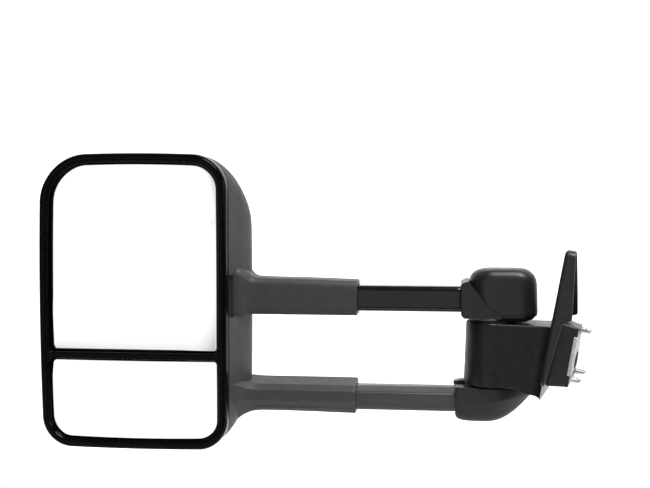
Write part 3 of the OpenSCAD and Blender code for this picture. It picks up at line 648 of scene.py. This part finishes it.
def sleeve(table, hole):
    """Hollow sleeve lofted through a table of sections, open for the tube at both ends."""
    count, mouth_rings, mouth_depth = 72, 6, 1.2
    x0, x1 = table[0][0], table[-1][0]
    outer = []
    for i in range(count + 1):
        past = i - count + mouth_rings
        x = mix(x0, x1, i / count) if past < 0 else mix(x1 - mouth_depth, x1, past / mouth_rings)
        y0, y1, z0, z1, *radii = curve_at(table, x)
        radii = [max(r, 1) for r in radii]
        outer.append([(x, y, z) for y, z in outline(y0, y1, z0, z1, radii, arc=8, side=3)])
    inner = [[(x, y, z) for y, z in hole] for x in (x1 - 0.2, x1 - 1.0, x0)]
    return on_arm(loft(outer + inner, ends=False))


def hole_section(cz, w, h, r, gap, arc=8):
    """Section of a tube, grown by gap."""
    return outline(-w / 2 - gap, w / 2 + gap, cz - h / 2 - gap, cz + h / 2 + gap,
                   (r + gap,) * 4, arc=arc, side=3)


piece_for("upper_sleeve", *sleeve(UPPER_SLEEVE, hole_section(UT_Z, UT_W, UT_H, 6, 1.3)), sharp=34)

# The lower sleeve: rounded bottom, and a top that slopes from its forward edge to a rear shoulder
LOWER_SLEEVE = [
    # x, rear y at the bottom and at the widest, forward y, z of the bottom, of the widest place,
    # of the shoulder and of the top
    (-330.0, -25, -30.5, 18.0, -73.0, -48, -24.5, -20.5),
    (-324.0, -21, -28.4, 18.0, -65.5, -44, -25.6, -21.4),
    (-318.0, -17, -25.2, 18.2, -60.0, -42, -28.0, -22.4),
    (-312.0, -13.5, -21.6, 18.4, -56.4, -42, -30.6, -23.2),
    (-305.0, -12, -19.4, 18.6, -54.2, -42, -32.0, -23.9),
    (-296.0, -12, -18.7, 18.6, -53.5, -42, -32.5, -24.2),
    (-260.0, -12, -18.6, 18.6, -53.6, -42, -32.5, -24.2),
    (-210.0, -12, -18.6, 18.6, -54.6, -42, -32.6, -24.4),
    (-208.8, -11.8, -18.3, 18.3, -54.3, -42, -32.8, -24.7),
    (-208.4, -11.3, -17.7, 17.7, -53.6, -42, -33.0, -25.3)]


def tube_corners(gap):
    """Corners of the lower tube's section, whose top slopes down to its rear side."""
    half, low, high = LT_W / 2 + gap, LT_Z - LT_H / 2 - gap, LT_Z + LT_H / 2 + gap
    return [(-half, low), (0, low), (half, low), (half, LT_Z), (half, high), (-1, high),
            (-half, high - 4.6), (-half, LT_Z)]


def lower_sleeve_ring(x):
    """Section of the lower sleeve at x, whose top is two planes."""
    yb, yw, yf, z0, zw, zs, z1 = curve_at(LOWER_SLEEVE, x)
    fz = max(z0, -53.6)
    loop = rounded_loop([(yb, z0, 5), (yf - 6, fz, 6), (yf, fz + 8, 7), (yf, z1 - 2.6, 2.5),
                         (yf - 3, z1, 1.6), (yw + 6.4, mix(z1, zs, 0.42), 1.4), (yw, zs, 1.2),
                         (yw, zw, 8)])
    return [(x, y, z) for y, z in loop]


def lower_sleeve():
    """Hollow lower sleeve, open for the tube at both ends."""
    x0, x1 = LOWER_SLEEVE[0][0], LOWER_SLEEVE[-1][0]
    xs = [mix(x0, -300, i / 24) for i in range(25)] + [mix(-298, -211, i / 24) for i in range(25)]
    xs += [-209.6, -209.1, -208.8, -208.55, x1]
    outer = [lower_sleeve_ring(x) for x in xs]
    hole = rounded_loop([(y, z, 4) for y, z in tube_corners(1.3)])
    inner = [[(x, y, z) for y, z in hole] for x in (x1 - 0.2, x1 - 1.0, x0)]
    return on_arm(loft(outer + inner, ends=False))


piece_for("lower_sleeve", *lower_sleeve(), sharp=30)


# ---- arm: tubes ----

def tube(node, section):
    """Open tube whose ends have a small chamfer; section(gap) is its outline grown by gap."""
    box = Box(node)
    outer, soft, inner = [section(gap) for gap in (0, -0.4, -2)]
    xs = [mix(box.x0 + 0.4, box.x1 - 0.4, i / 16) for i in range(17)]
    rings = [[(box.x0, y, z) for y, z in soft]] + [[(x, y, z) for y, z in outer] for x in xs]
    rings += [[(box.x1, y, z) for y, z in soft], [(box.x1, y, z) for y, z in inner],
              [(box.x0, y, z) for y, z in inner]]
    piece_for(node, *on_arm(loft(rings, ends=False)), sharp=50)


def upper_tube_section(gap):
    return hole_section(UT_Z, UT_W, UT_H, 5.5, gap, arc=10)


def lower_tube_section(gap):
    return rounded_loop([(y, z, 4.5) for y, z in tube_corners(gap)], 8)


tube("upper_tube", upper_tube_section)
tube("lower_tube", lower_tube_section)


# ---- arm: cap over the pivot ----

CAP_WALL = 2.4
# The pockets that take the tubes end this far short of the pivot
POCKET_X = PX - 19.5


def cap_dome(inset=0.0):
    """Outer or inner surface of the cap: rings from its rim up to the crown."""
    rows = [
        # z, arm-side x, door-side x, half width, radii: door side, arm side
        (36.9, -98.5, -46.5, 18.4, 15, 16),
        (38.4, -100.8, -42.6, 20.6, 15, 17),
        (41.0, -102.4, -39.9, 22.0, 15, 18),
        (50.0, -103.0, -39.7, 22.0, 15, 19),
        (60.0, -103.2, -39.9, 22.0, 15, 20),
        (68.0, -103.0, -40.3, 21.8, 15, 20),
        (73.7, -102.4, -41.2, 21.2, 15, 19),
        (78.0, -100.4, -43.4, 19.8, 14, 18),
        (81.2, -96.6, -47.0, 17.2, 12, 15),
        (82.7, -93.0, -50.0, 14.6, 10, 12.5),
        (83.4, -89.5, -53.0, 12.2, 9, 10.5)]
    rings = []
    for i in range(41):
        z = mix(rows[0][0], rows[-1][0], math.sin(i / 40 * math.pi / 2))
        x0, x1, half, r_door, r_arm = curve_at(rows, z)
        x0, x1, half = x0 + inset, x1 - inset, half - inset
        if x1 - x0 < 2 or half < 1:
            continue
        r_d, r_a = [max(min(r - inset, half - 0.1), 0.5) for r in (r_door, r_arm)]
        flat = outline(x0, x1, -half, half, (r_d, r_a, r_a, r_d), (0.8, 0.5, 0.5, 0.5), arc=14,
                       side=8)
        rings.append([(x, y, z - inset) for x, y in flat])
    return rings


def cap_collar():
    """Flat-sided collar that leads the upper tube into the dome."""
    side = rounded_loop([(-110.4, 41.0, 1.5), (-110.4, 70.0, 1.6), (-107.0, 71.6, 2.0),
                         (-103.2, 72.6, 1.0), (-98.2, 65.6, 30), (-84.0, 48.6, 30),
                         (-71.0, 40.2, 3), (-74.0, 38.0, 1), (-107.6, 38.0, 1.5)])
    cx, cz = -93, 52
    rings = []
    for y, inset in ((-21.9, 1.6), (-22.4, 0.9), (-22.6, 0.0), (22.6, 0.0), (22.4, 0.9),
                     (21.9, 1.6)):
        k = 1 - inset / 60
        rings.append([(cx + (x - cx) * k, y, cz + (z - cz) * k) for x, z in side])
    return on_arm(loft(rings))


cap_shell = on_arm(shell(cap_dome(), cap_dome(CAP_WALL)[::-1]))
cap_piece = piece_for("pivot_cap", *cap_shell, sharp=36)
boolean(cap_piece, *cap_collar(), "UNION")
boolean(cap_piece, *bar_along_x(-125, POCKET_X, box_section(UT_Z, UT_W + 0.7, UT_H + 0.7, 5.4)),
        "DIFFERENCE")


# ---- arm: lower knuckle ----

# Sections of the knuckle across the arm, in mm: x, half width at the top, half width at the
# bottom, top z, bottom z, radius of the bottom edges
LOWER_KNUCKLE = [
    (-115.4, 16.6, 14.0, -27.2, -53.6, 6),
    (-114.6, 17.6, 15.0, -26.6, -55.4, 6),
    (-112.0, 18.6, 16.0, -26.5, -57.4, 7),
    (-106.0, 19.6, 16.8, -26.5, -58.8, 8),
    (-98.0, 20.8, 17.4, -26.5, -59.2, 9),
    (-90.0, 22.0, 17.6, -26.5, -59.2, 9),
    (-81.0, 22.5, 17.2, -26.5, -58.6, 9),
    (-74.0, 22.2, 16.0, -26.6, -56.8, 9),
    (-67.0, 20.2, 14.0, -26.8, -53.4, 8),
    (-60.0, 16.4, 11.0, -27.8, -48.6, 7),
    (-54.0, 11.6, 7.6, -30.4, -43.4, 5),
    (-49.6, 7.4, 4.8, -32.6, -39.0, 3),
    (-46.6, 3.2, 2.2, -33.8, -35.8, 0.8)]


def knuckle_boat():
    """Boat-shaped knuckle under the barrel."""
    x0, x1 = LOWER_KNUCKLE[0][0], LOWER_KNUCKLE[-1][0]
    rings = []
    for i in range(61):
        x = mix(x0, x1, 0.5 - 0.5 * math.cos(math.pi * i / 60))
        top, low, z1, z0, r = curve_at(LOWER_KNUCKLE, x)
        waist = z1 - (z1 - z0) * 0.36
        e = min(1.4, (z1 - z0) * 0.2)
        loop = rounded_loop([(-low, z0, r), (0, z0, 0.1), (low, z0, r), (top, waist, 6),
                             (top, z1, e), (0, z1, 0.1), (-top, z1, e), (-top, waist, 6)])
        rings.append([(x, y, z) for y, z in loop])
    return on_arm(loft(rings))


def knuckle_lug():
    """Cable lug on the forward side of the arm, beside the barrel."""
    rings = []
    for y, inset in ((3.0, 1.0), (3.6, 0.3), (4.6, 0.0), (17.0, 0.0), (18.4, 0.5), (19.0, 1.4)):
        side = rounded_loop([(-112.5 + inset, -34, 0.5), (-118.0 + inset, -25.0 - inset, 1.5),
                             (-110.0, -23.2 - inset, 1.0), (-106.2 - inset, -23.0 - inset, 1.2),
                             (-105.6 - inset, -27, 1.0), (-105.6 - inset, -34, 0.5)])
        rings.append([(x, y, z) for x, z in side])
    return on_arm(loft(rings))


knuckle_piece = piece_for("lower_knuckle", *knuckle_boat(), sharp=36)
boolean(knuckle_piece, *knuckle_lug(), "UNION")
boolean(knuckle_piece, *bar_along_x(-125, POCKET_X, lower_tube_section(0.15)), "DIFFERENCE")


# ---- door side ----

# The sail's outer plane, in mm along the door's normal from the studs
SAIL_FACE = -23.9


def outer_plane_x(y, z):
    """x of the sail's outer plane at y and z, in mm from the arm's origin."""
    n = door_normal
    return (SAIL_FACE - n.dot(ARM_AT) / MM - n.y * y - n.z * z) / n.x


BORE_R = 8.1


def pivot_circle(r, sides):
    """Points round the fold pivot."""
    return [(PX + r * math.cos(2 * math.pi * i / sides), r * math.sin(2 * math.pi * i / sides))
            for i in range(sides)]


def barrel():
    """Turned barrel, a little wider at its foot, with a rolled edge at each end."""
    z0, z1 = -24.9, 34.5
    rows = [(17.0, z0), (25.0, z0), (25.8, z0 + 0.5), (26.1, z0 + 1.6), (25.6, z0 + 12),
            (24.9, z0 + 30), (24.3, z0 + 48), (24.0, z1 - 1.8), (23.5, z1 - 0.6), (22.4, z1),
            (10.0, z1), (BORE_R, z1 - 0.8), (BORE_R, z0 + 0.8), (10.0, z0)]
    rings = [[(x, y, z) for x, y in pivot_circle(r, 96)] for r, z in rows]
    return on_arm(loft(rings, ends=False))


def bracket_arm():
    """Block from the barrel to the door plate, spreading into the plate in a hollow fillet."""
    rings = []
    # the seam lies inside the barrel
    seam = PX - 3.4
    for i in range(49):
        t = i / 48
        flare = max(0.0, (t - 0.72) / 0.28)
        spread = 12 * (1 - math.sqrt(max(1 - flare ** 2, 0)))
        x_mid = mix(seam, outer_plane_x(0, 0), t)
        fall = 1.5 * min(max((x_mid - PX) / 22, 0), 1)
        fall += 5.0 * smooth_step((x_mid - (PX + 21)) / 18)
        low = -24.6 - fall - spread * 0.3
        loop = rounded_loop([(-25.7 - spread, low, 1.6), (25.7 + spread, low, 1.6),
                             (24.4 + spread, 33.9 - 2.0 * t, 2.4),
                             (-24.4 - spread, 33.9 - 2.0 * t, 2.0)], arc=6)
        rings.append([(mix(seam, outer_plane_x(y, z) + 2.0, t), y, z) for y, z in loop])
    return on_arm(loft(rings))


bracket_piece = piece_for("door_bracket", *barrel(), sharp=30)
boolean(bracket_piece, *bracket_arm(), "UNION")
bore = on_arm(loft([[(x, y, z) for x, y in pivot_circle(BORE_R, 64)] for z in (-40, 50)]))
boolean(bracket_piece, *bore, "DIFFERENCE")

# Outline of the sail on its own face, in mm: forward, up, corner radius
SAIL = [(-54, -21, 6), (-50.5, 60, 60), (-49.4, 101, 7), (-37, 104, 9), (-8, 65, 120),
        (24, 10.5, 60), (34, -34, 6), (-10, -28.5, 90)]
SAIL_MID = (-16, 22)
SAIL_STEP = 2.5


def sail_loop(inset):
    """Outline of the sail in short steps, drawn in by inset."""
    cy, cz = SAIL_MID
    corners = rounded_loop(SAIL, 8)
    loop = []
    for a, b in zip(corners, corners[1:] + corners[:1]):
        steps = max(1, round(math.dist(a, b) / SAIL_STEP))
        loop += [(mix(a[0], b[0], k / steps), mix(a[1], b[1], k / steps)) for k in range(steps)]
    out = []
    for i, (y, z) in enumerate(loop):
        along = Vector(loop[(i + 1) % len(loop)]) - Vector(loop[i - 1])
        inward = Vector((along.y, -along.x)).normalized()
        if inward.dot(Vector((cy - y, cz - z))) < 0:
            inward = -inward
        out.append((y + inward.x * inset, z + inward.y * inset))
    return out


def rim_depth(z):
    """Depth of the sail's rim: shallow at its tip, deep above the stand-off block."""
    above = mix(18.0, 9.5, (z - 40) / 64)
    beside = mix(4.5, 10.0, (z + 25) / 62)
    return mix(beside, above, smooth_step((z - 37.5) / 5))


def sail():
    """Dished cover: crowned outer face, rounded rim, hollow towards the door."""
    # inset, depth behind the face, and the share of the rim's own depth that is added
    outer_rows = [(0.9, 0, 1.0), (0.2, -0.3, 1.0), (0.0, -1.0, 1.0), (0.0, 1.0, 0.4),
                  (0.0, 3.4, 0.0), (0.4, 1.6, 0.0), (1.2, 0.7, 0.0), (2.4, 0.2, 0.0),
                  (4.2, 0.05, 0.0)]
    inner_rows = [(6.6, 2.9, 0.0), (4.2, 3.2, 0.0), (3.1, 4.2, 0.0), (2.7, 1.0, 0.5),
                  (2.2, -0.1, 1.0)]
    cy, cz = SAIL_MID

    def ring(inset, depth, share, k=1.0):
        return [on_door(SAIL_FACE + depth + share * rim_depth(z), cy + (y - cy) * k,
                        cz + (z - cz) * k) for y, z in sail_loop(inset)]

    outer = [ring(*row) for row in outer_rows]
    outer += [ring(4.2, 0.05 * k * k, 0.0, k) for k in (0.85, 0.6, 0.3, 0.05)]
    inner = [ring(6.6, 2.9, 0.0, k) for k in (0.05, 0.4, 0.8)] + [ring(*row) for row in inner_rows]
    return at_door(shell(outer, inner))


piece_for("sail_cover", *sail(), sharp=34)


# Outline of the stand-off block at the sail, whose forward top corner is cut off
BLOCK_Y, BLOCK_Z0, BLOCK_Z1, CUT_Y, CUT_Z = 33, -24.5, 36.5, 6, -2
# How far the two ends of the cut edge move when the outline is drawn in by 1 mm
CUT_SLIDE, CUT_DROP = 0.52, 0.32
# How much narrower the block is at the door, and where its top and bottom pads end
BLOCK_TAPER, TOP_PAD_Z, LOW_PAD_Z = 2.6, 25.5, -11.5


def cut_edge_y(z, inset):
    """y of the block's cut edge at height z."""
    y0, z0 = BLOCK_Y - inset, CUT_Z - CUT_DROP * inset
    y1, z1 = CUT_Y - CUT_SLIDE * inset, BLOCK_Z1 - inset
    return mix(y0, y1, (z - z0) / (z1 - z0))


def prism(rows, corners):
    """Solid along the door's normal; rows are (x, inset), corners(inset) gives (y, z, radius)."""
    rings = [[on_door(x, y, z) for y, z in rounded_loop(corners(inset), 6)] for x, inset in rows]
    return at_door(loft(rings))


def block_corners(t):
    return [(-BLOCK_Y + t, BLOCK_Z0 + t, 3), (BLOCK_Y - t, BLOCK_Z0 + t, 3),
            (BLOCK_Y - t, CUT_Z - CUT_DROP * t, 6), (CUT_Y - CUT_SLIDE * t, BLOCK_Z1 - t, 4),
            (-BLOCK_Y + t, BLOCK_Z1 - t, 3)]


def top_pad_corners(i):
    t = BLOCK_TAPER + i
    return [(-BLOCK_Y + t, TOP_PAD_Z + i, 2), (cut_edge_y(TOP_PAD_Z + i, t), TOP_PAD_Z + i, 2),
            (CUT_Y - CUT_SLIDE * t, BLOCK_Z1 - t, 3), (-BLOCK_Y + t, BLOCK_Z1 - t, 2)]


def low_pad_corners(i):
    t = BLOCK_TAPER + i
    return [(-BLOCK_Y + t, BLOCK_Z0 + t, 2), (BLOCK_Y - t, BLOCK_Z0 + t, 2),
            (BLOCK_Y - t, LOW_PAD_Z - i, 2), (-BLOCK_Y + t, LOW_PAD_Z - i, 2)]


def gasket_corners(i):
    t, z0, z1 = 1.6 + i, LOW_PAD_Z + 0.3 + i, TOP_PAD_Z - 0.3 - i
    return [(-BLOCK_Y + t, z0, 2), (BLOCK_Y - t, z0, 2), (BLOCK_Y - t, CUT_Z - CUT_DROP * t, 4),
            (cut_edge_y(z1, t), z1, 2), (-BLOCK_Y + t, z1, 2)]


BLOCK_ROWS = [(-22, 0.4), (-20.5, 0), (-13, 1.0), (-4, 2.4), (-3.2, BLOCK_TAPER), (-3, 3.0)]
PAD_ROWS = [(-8, 0), (-0.9, 0), (-0.4, 0.3), (-0.2, 0.9)]
GASKET_ROWS = [(-3.2, 0.4), (-2.9, 0), (-0.3, 0), (0, 0.4)]
block_piece = piece_for("mounting_block", *prism(BLOCK_ROWS, block_corners), sharp=34)
for corners in (top_pad_corners, low_pad_corners):
    boolean(block_piece, *prism(PAD_ROWS, corners), "UNION")
piece_for("door_gasket", *prism(GASKET_ROWS, gasket_corners))


STUD_ROOT, STUD_OUT = -4.0, 10.0
THREAD_PITCH, THREAD_DEPTH = 1.0, 0.42


def stud(cy, cz):
    """Stud with a rolled thread, a chamfered tip and a plain root."""
    sides = 40

    def ring(x, radius):
        return [(x, cy + radius(k) * math.cos(2 * math.pi * k / sides),
                 cz + radius(k) * math.sin(2 * math.pi * k / sides)) for k in range(sides)]

    def plain(share):
        return lambda k: stud_r * share

    def thread(x):
        return lambda k: stud_r - THREAD_DEPTH * abs(2 * ((x / THREAD_PITCH - k / sides) % 1.0) - 1)

    rings = [ring(STUD_ROOT, plain(0.95)), ring(0.9, plain(0.95))]
    steps = int((STUD_OUT - 2.2) / THREAD_PITCH * 12)
    for i in range(steps + 1):
        x = mix(1.0, STUD_OUT - 1.2, i / steps)
        rings.append(ring(x, thread(x)))
    rings += [ring(STUD_OUT - back, plain(share))
              for back, share in ((1.0, 0.84), (0.2, 0.62), (0, 0.55))]
    return loft([[on_door(*p) for p in points] for points in rings])


studs = [stud(stud_circle * math.cos(math.radians(a)), stud_circle * math.sin(math.radians(a)))
         for a in (90, 210, 330)]
piece_for("door_studs", *at_door(join(studs)), sharp=30)


# ---- materials on the CAD nodes that show as they are ----

for node_name, node in frame["nodes"].items():
    if node.hide_render:
        continue
    node.data.materials.clear()
    node.data.materials.append(MATERIALS[SLOTS[node_name]])
    if not any(m.type == "BEVEL" for m in node.modifiers):
        mod = node.modifiers.new("edges", "BEVEL")
        mod.width, mod.segments, mod.limit_method = 0.0004, 2, "ANGLE"
        mod.angle_limit = math.radians(40)
        mod.harden_normals = True
        mod.use_clamp_overlap = True


# ---- floor, light and camera ----

# In metres: the floor's height and front edge, where it starts to bend up and how tightly
FLOOR_Z, FLOOR_Y, BEND_Y, BEND_R = -0.16, -0.22, 0.9, 0.9
WALL_TOP, STAGE_HALF = 3.2, 3.5


def stage_mesh():
    """Level floor that curves up into a wall behind the object, and glows a little."""
    profile = [(FLOOR_Y, FLOOR_Z), (BEND_Y, FLOOR_Z)]
    profile += [(BEND_Y + BEND_R * math.sin(math.radians(a)),
                 FLOOR_Z + BEND_R - BEND_R * math.cos(math.radians(a))) for a in range(6, 91, 6)]
    profile += [(BEND_Y + BEND_R, WALL_TOP)]
    mesh = bpy.data.meshes.new("stage")
    verts = [(x, y, z) for y, z in profile for x in (-STAGE_HALF, STAGE_HALF)]
    faces = [(2 * i, 2 * i + 1, 2 * i + 3, 2 * i + 2) for i in range(len(profile) - 1)]
    mesh.from_pydata(verts, [], faces)
    mesh.shade_smooth()
    obj = bpy.data.objects.new("stage", mesh)
    bpy.context.scene.collection.objects.link(obj)
    mat, tree, bsdf = shader("stage_white", (0.8, 0.8, 0.8), 0.9, level=0.1)
    bsdf.inputs["Emission Color"].default_value = (1, 1, 1, 1)
    coord = tree.nodes.new("ShaderNodeTexCoord")
    place = tree.nodes.new("ShaderNodeSeparateXYZ")
    # Painted light: the stage's glow rises along y, from faint on the floor in front of the object
    # to strong on the floor and wall behind it
    glow = tree.nodes.new("ShaderNodeMapRange")
    for socket, value in (("From Min", -0.2), ("From Max", 0.2), ("To Min", 0.05),
                          ("To Max", 0.75)):
        glow.inputs[socket].default_value = value
    tree.links.new(coord.outputs["Object"], place.inputs["Vector"])
    tree.links.new(place.outputs["Y"], glow.inputs["Value"])
    tree.links.new(glow.outputs["Result"], bsdf.inputs["Emission Strength"])
    obj.data.materials.append(mat)


stage_mesh()


def area_light(name, place, target, size, power):
    """Round white softbox at a place, turned to a target."""
    data = bpy.data.lights.new(name, "AREA")
    data.shape, data.size, data.energy = "DISK", size, power
    obj = bpy.data.objects.new(name, data)
    obj.location = place
    obj.rotation_euler = (Vector(target) - Vector(place)).to_track_quat("-Z", "Y").to_euler()
    bpy.context.scene.collection.objects.link(obj)


area_light("key", (0.3, -0.45, 1.4), (-0.25, 0, 0.05), 0.8, 34)
area_light("side", (1.3, -0.5, 0.45), (-0.3, 0, 0.05), 0.7, 7)


# The card fades out between these half angles, in degrees
CARD_EDGE, CARD_FULL = 33, 25


def studio(card_at, level, card_level):
    """Dim surroundings with one wide bright card, which is what both glasses face."""
    world = bpy.data.worlds.new("studio")
    world.use_nodes = True
    tree = world.node_tree
    tree.nodes["Background"].inputs["Color"].default_value = (1, 1, 1, 1)
    coord = tree.nodes.new("ShaderNodeTexCoord")
    along = tree.nodes.new("ShaderNodeVectorMath")
    along.operation = "DOT_PRODUCT"
    along.inputs[1].default_value = Vector(card_at).normalized()
    span = tree.nodes.new("ShaderNodeMapRange")
    span.interpolation_type = "SMOOTHSTEP"
    span.inputs["From Min"].default_value = math.cos(math.radians(CARD_EDGE))
    span.inputs["From Max"].default_value = math.cos(math.radians(CARD_FULL))
    span.inputs["To Min"].default_value = level
    span.inputs["To Max"].default_value = card_level
    tree.links.new(coord.outputs["Generated"], along.inputs[0])
    tree.links.new(along.outputs["Value"], span.inputs["Value"])
    tree.links.new(span.outputs["Result"], tree.nodes["Background"].inputs["Strength"])
    bpy.context.scene.world = world


studio((-0.28, -0.95, -0.05), 0.16, 1.08)
bpy.context.scene.view_settings.view_transform = "Standard"

# The photograph's viewpoint: place in metres, turned outboard by YAW and down by PITCH
CAMERA_AT = Vector((-0.11275, -1.0911, 0.1645)) + ARM_AT
YAW, PITCH = math.radians(6.6), math.radians(3.1)
camera = bpy.data.cameras.new("camera")
camera.lens, camera.sensor_width = 64.14, 36
camera_obj = bpy.data.objects.new("camera", camera)
look = Vector((-math.sin(YAW) * math.cos(PITCH), math.cos(YAW) * math.cos(PITCH),
               -math.sin(PITCH)))
camera_obj.location = CAMERA_AT
camera_obj.rotation_euler = look.to_track_quat("-Z", "Y").to_euler()
bpy.context.scene.collection.objects.link(camera_obj)
bpy.context.scene.camera = camera_obj
